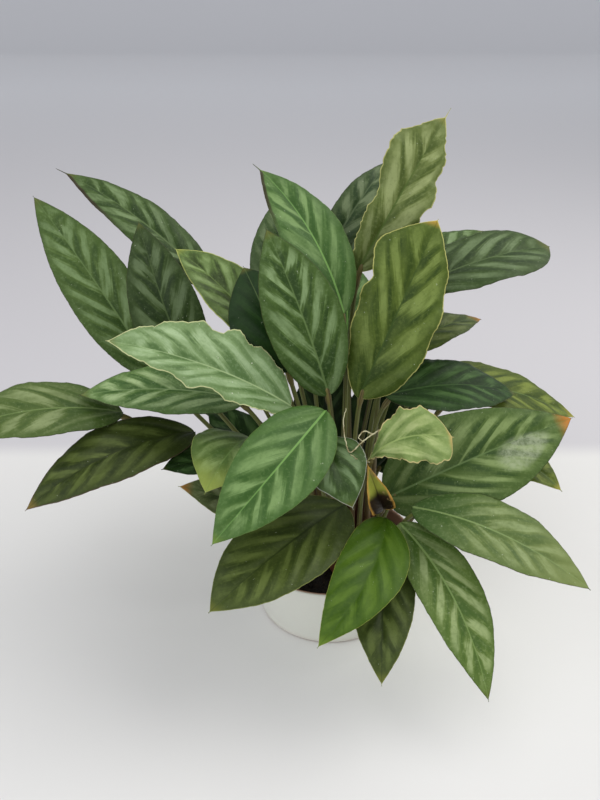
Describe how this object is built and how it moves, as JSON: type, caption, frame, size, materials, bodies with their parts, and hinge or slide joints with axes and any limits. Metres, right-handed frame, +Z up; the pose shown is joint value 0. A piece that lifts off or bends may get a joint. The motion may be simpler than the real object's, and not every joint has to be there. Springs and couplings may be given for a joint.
{
  "type": "potted calathea plant",
  "caption": "Bushy calathea with long striped leaves on slim stalks, rising from the soil of a low round tapered pot with drain holes.",
  "frame": {"origin": "centre of the pot's flat underside, on the plane that the pot stands on", "axes": "+Z up; -Y is the front, the side that the picture shows; +X is to the right of someone looking at the front"},
  "size_m": [0.4544, 0.311, 0.3622],
  "materials": {
    "pot": "satin",
    "soil": "matte",
    "leaf": "satin",
    "fresh_leaf": "satin",
    "dry_leaf": "matte"
  },
  "bodies": {
    "root": {"pot": "pot", "soil": "soil", "leaf_left_1": "leaf", "leaf_left_2": "leaf", "leaf_left_3": "dry_leaf", "leaf_left_4": "leaf", "leaf_left_5": "fresh_leaf", "leaf_left_6": "leaf", "leaf_left_7": "leaf", "leaf_left_8": "leaf", "leaf_left_9": "leaf", "leaf_left_10": "fresh_leaf", "leaf_left_11": "leaf", "leaf_left_12": "leaf", "leaf_left_13": "leaf", "leaf_top_1": "leaf", "leaf_top_2": "leaf", "leaf_top_3": "leaf", "leaf_top_4": "fresh_leaf", "leaf_top_5": "dry_leaf", "leaf_top_6": "leaf", "leaf_right_1": "leaf", "leaf_right_2": "leaf", "leaf_right_3": "leaf", "leaf_right_4": "leaf", "leaf_right_5": "fresh_leaf", "leaf_right_6": "leaf", "leaf_right_7": "fresh_leaf", "leaf_right_8": "leaf", "leaf_front_1": "fresh_leaf", "leaf_front_2": "leaf", "leaf_front_3": "leaf", "leaf_front_4": "fresh_leaf", "leaf_front_5": "leaf", "leaf_front_6": "leaf", "leaf_back_1": "leaf", "leaf_back_2": "leaf", "leaf_back_3": "leaf", "leaf_back_4": "leaf", "leaf_back_5": "leaf", "leaf_back_6": "leaf", "leaf_back_7": "leaf", "leaf_back_8": "leaf", "leaf_back_9": "leaf", "leaf_back_10": "leaf", "leaf_back_11": "leaf", "leaf_back_12": "leaf", "leaf_dry_1": "dry_leaf", "leaf_dry_2": "dry_leaf"}
  },
  "joints": []
}
